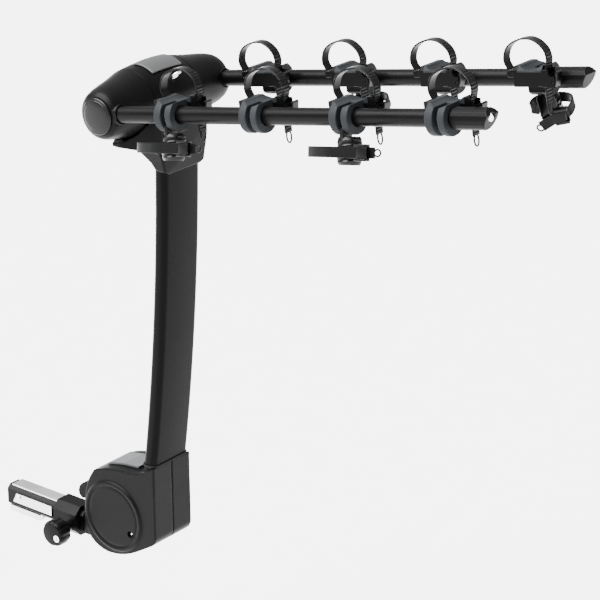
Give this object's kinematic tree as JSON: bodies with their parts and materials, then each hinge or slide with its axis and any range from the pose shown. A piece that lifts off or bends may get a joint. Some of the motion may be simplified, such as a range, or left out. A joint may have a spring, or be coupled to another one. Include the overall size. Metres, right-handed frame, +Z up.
{
  "type": "hitch mounted bike rack",
  "caption": "Hitch mounted bike rack: a wedge-clamped receiver tube, tilting base, flat curved mast and folding arms with strapped cradles and hanging anti-sway cages.",
  "frame": {"origin": "the receiver tube's axis at its free end, which goes into the vehicle's receiver", "axes": "+X away from the vehicle, along the receiver tube; +Z up, along the mast; +Y to the vehicle's right, so the clamp knob is at -Y"},
  "size_m": [1.0249, 0.3082, 0.9686],
  "materials": {
    "black_coat": "satin powder coat",
    "black_plastic": "fine moulded grain",
    "grey_rubber": "matte",
    "strap_plastic": "smooth, with teeth on the outer face",
    "plated_steel": "plated"
  },
  "bodies": {
    "receiver": {"receiver_tube": "black_coat", "adapter_top": "plated_steel", "adapter_bottom": "plated_steel", "clamp_collar": "black_plastic", "pivot_bracket": "black_coat", "pivot_pin": "plated_steel"},
    "knob": {"clamp_knob": "black_plastic"},
    "key_lock": {"lock_cylinder": "plated_steel"},
    "sliding_wedge": {"wedge": "plated_steel"},
    "foot_lever": {"tilt_lever": "black_plastic"},
    "mast": {"base_cover_left": "black_plastic", "base_cover_right": "black_plastic", "base_insert": "grey_rubber", "mast_tube": "black_coat", "head_housing": "black_plastic", "head_neck": "black_plastic", "hub_axle": "plated_steel"},
    "release": {"release_panel": "grey_rubber"},
    "cable": {"cable_loop": "plated_steel"},
    "arms": {"hub_cone_left": "black_plastic", "end_cap_left": "black_plastic", "arm_tube_left": "black_coat", "arm_tip_left": "black_plastic", "hub_cone_right": "black_plastic", "end_cap_right": "black_plastic", "arm_tube_right": "black_coat", "arm_tip_right": "black_plastic", "cradle_left_1": "grey_rubber", "strap_left_1": "strap_plastic", "cradle_left_2": "grey_rubber", "strap_left_2": "strap_plastic", "cradle_left_3": "grey_rubber", "strap_left_3": "strap_plastic", "cradle_left_4": "grey_rubber", "strap_left_4": "strap_plastic", "cradle_right_1": "grey_rubber", "strap_right_1": "strap_plastic", "cradle_right_2": "grey_rubber", "strap_right_2": "strap_plastic", "cradle_right_3": "grey_rubber", "strap_right_3": "strap_plastic", "cradle_right_4": "grey_rubber", "strap_right_4": "strap_plastic"},
    "tip_lock": {"arm_lock": "plated_steel"},
    "buckle_left_1": {"buckle_lever_left_1": "black_plastic"},
    "buckle_left_2": {"buckle_lever_left_2": "black_plastic"},
    "buckle_left_3": {"buckle_lever_left_3": "black_plastic"},
    "buckle_left_4": {"buckle_lever_left_4": "black_plastic"},
    "buckle_right_1": {"buckle_lever_right_1": "black_plastic"},
    "buckle_right_2": {"buckle_lever_right_2": "black_plastic"},
    "buckle_right_3": {"buckle_lever_right_3": "black_plastic"},
    "buckle_right_4": {"buckle_lever_right_4": "black_plastic"},
    "cage_left_1": {"sway_cage_left_1": "black_plastic"},
    "cage_buckle_left_1": {"cage_lever_left_1": "black_plastic"},
    "cage_left_3": {"sway_cage_left_3": "black_plastic"},
    "cage_buckle_left_3": {"cage_lever_left_3": "black_plastic"},
    "cage_right_2": {"sway_cage_right_2": "black_plastic"},
    "cage_buckle_right_2": {"cage_lever_right_2": "black_plastic"},
    "cage_right_4": {"sway_cage_right_4": "black_plastic"},
    "cage_buckle_right_4": {"cage_lever_right_4": "black_plastic"}
  },
  "joints": [
    {"name": "knob_turn", "type": "hinge", "parent": "receiver", "child": "knob", "pos_m": [0.153, 0, -0.0008], "axis": [0, 1, 0], "range_deg": [0, 720]},
    {"name": "key_turn", "type": "hinge", "parent": "knob", "child": "key_lock", "pos_m": [0.1642, 0, -0.0054], "axis": [0, 1, 0], "range_deg": [0, 90]},
    {"name": "wedge_slide", "type": "slide", "parent": "receiver", "child": "sliding_wedge", "axis": [1, 0, 0], "range_m": [0, 0.006]},
    {"name": "foot_lever_pull", "type": "hinge", "parent": "receiver", "child": "foot_lever", "pos_m": [0.212, 0, 0.084], "axis": [0, 1, 0], "range_deg": [0, 18], "stiffness_Nm_per_rad": 0.6, "springref_deg": -17.19},
    {"name": "mast_tilt", "type": "hinge", "parent": "receiver", "child": "mast", "pos_m": [0.27, 0, 0.064], "axis": [0, 1, 0], "range_deg": [0, 35]},
    {"name": "release_lift", "type": "hinge", "parent": "mast", "child": "release", "pos_m": [0.323, 0, 0.8205], "axis": [0, -1, 0], "range_deg": [0, 20], "stiffness_Nm_per_rad": 0.08, "springref_deg": -17.19},
    {"name": "cable_pull", "type": "slide", "parent": "mast", "child": "cable", "axis": [0.766, 0, 0.6428], "range_m": [0, 0.012]},
    {"name": "arms_fold", "type": "hinge", "parent": "mast", "child": "arms", "pos_m": [0.333, 0, 0.765], "axis": [0, 1, 0], "range_deg": [0, 98]},
    {"name": "tip_lock_turn", "type": "hinge", "parent": "arms", "child": "tip_lock", "pos_m": [1.01093, -0.118, 0.89354], "axis": [0.983, 0, 0.1834], "range_deg": [0, 90]},
    {"name": "buckle_lift_left_1", "type": "hinge", "parent": "arms", "child": "buckle_left_1", "pos_m": [0.51566, -0.089, 0.8001], "axis": [0, 1, 0], "range_deg": [0, 35], "stiffness_Nm_per_rad": 0.02, "springref_deg": -17.19},
    {"name": "buckle_lift_left_2", "type": "hinge", "parent": "arms", "child": "buckle_left_2", "pos_m": [0.67295, -0.089, 0.82945], "axis": [0, 1, 0], "range_deg": [0, 35], "stiffness_Nm_per_rad": 0.02, "springref_deg": -17.19},
    {"name": "buckle_lift_left_3", "type": "hinge", "parent": "arms", "child": "buckle_left_3", "pos_m": [0.83023, -0.089, 0.8588], "axis": [0, 1, 0], "range_deg": [0, 35], "stiffness_Nm_per_rad": 0.02, "springref_deg": -17.19},
    {"name": "buckle_lift_left_4", "type": "hinge", "parent": "arms", "child": "buckle_left_4", "pos_m": [0.98752, -0.089, 0.88815], "axis": [0, 1, 0], "range_deg": [0, 35], "stiffness_Nm_per_rad": 0.02, "springref_deg": -17.19},
    {"name": "buckle_lift_right_1", "type": "hinge", "parent": "arms", "child": "buckle_right_1", "pos_m": [0.51566, 0.089, 0.8001], "axis": [0, 1, 0], "range_deg": [0, 35], "stiffness_Nm_per_rad": 0.02, "springref_deg": -17.19},
    {"name": "buckle_lift_right_2", "type": "hinge", "parent": "arms", "child": "buckle_right_2", "pos_m": [0.67295, 0.089, 0.82945], "axis": [0, 1, 0], "range_deg": [0, 35], "stiffness_Nm_per_rad": 0.02, "springref_deg": -17.19},
    {"name": "buckle_lift_right_3", "type": "hinge", "parent": "arms", "child": "buckle_right_3", "pos_m": [0.83023, 0.089, 0.8588], "axis": [0, 1, 0], "range_deg": [0, 35], "stiffness_Nm_per_rad": 0.02, "springref_deg": -17.19},
    {"name": "buckle_lift_right_4", "type": "hinge", "parent": "arms", "child": "buckle_right_4", "pos_m": [0.98752, 0.089, 0.88815], "axis": [0, 1, 0], "range_deg": [0, 35], "stiffness_Nm_per_rad": 0.02, "springref_deg": -17.19},
    {"name": "cage_swing_left_1", "type": "hinge", "parent": "arms", "child": "cage_left_1", "pos_m": [0.47751, -0.118, 0.79197], "axis": [-0.983, 0, -0.1834], "range_deg": [-8, 60]},
    {"name": "cage_buckle_lift_left_1", "type": "hinge", "parent": "cage_left_1", "child": "cage_buckle_left_1", "pos_m": [0.51838, -0.15, 0.75829], "axis": [0.1772, -0.2588, -0.9495], "range_deg": [0, 25], "stiffness_Nm_per_rad": 0.02, "springref_deg": -17.19},
    {"name": "cage_swing_left_3", "type": "hinge", "parent": "arms", "child": "cage_left_3", "pos_m": [0.79208, -0.118, 0.85067], "axis": [-0.983, 0, -0.1834], "range_deg": [-8, 60]},
    {"name": "cage_buckle_lift_left_3", "type": "hinge", "parent": "cage_left_3", "child": "cage_buckle_left_3", "pos_m": [0.83295, -0.15, 0.81699], "axis": [0.1772, -0.2588, -0.9495], "range_deg": [0, 25], "stiffness_Nm_per_rad": 0.02, "springref_deg": -17.19},
    {"name": "cage_swing_right_2", "type": "hinge", "parent": "arms", "child": "cage_right_2", "pos_m": [0.63479, 0.118, 0.82132], "axis": [0.983, 0, 0.1834], "range_deg": [-5, 60]},
    {"name": "cage_buckle_lift_right_2", "type": "hinge", "parent": "cage_right_2", "child": "cage_buckle_right_2", "pos_m": [0.67586, 0.10705, 0.77597], "axis": [-0.1772, -0.2588, 0.9495], "range_deg": [0, 25], "stiffness_Nm_per_rad": 0.02, "springref_deg": -17.19},
    {"name": "cage_swing_right_4", "type": "hinge", "parent": "arms", "child": "cage_right_4", "pos_m": [0.94936, 0.118, 0.88001], "axis": [0.983, 0, 0.1834], "range_deg": [-5, 60]},
    {"name": "cage_buckle_lift_right_4", "type": "hinge", "parent": "cage_right_4", "child": "cage_buckle_right_4", "pos_m": [0.99043, 0.10705, 0.83467], "axis": [-0.1772, -0.2588, 0.9495], "range_deg": [0, 25], "stiffness_Nm_per_rad": 0.02, "springref_deg": -17.19}
  ],
  "couplings": [
    {"joint": "wedge_slide", "follows": "knob_turn", "m_per_rad": 0.00046}
  ]
}
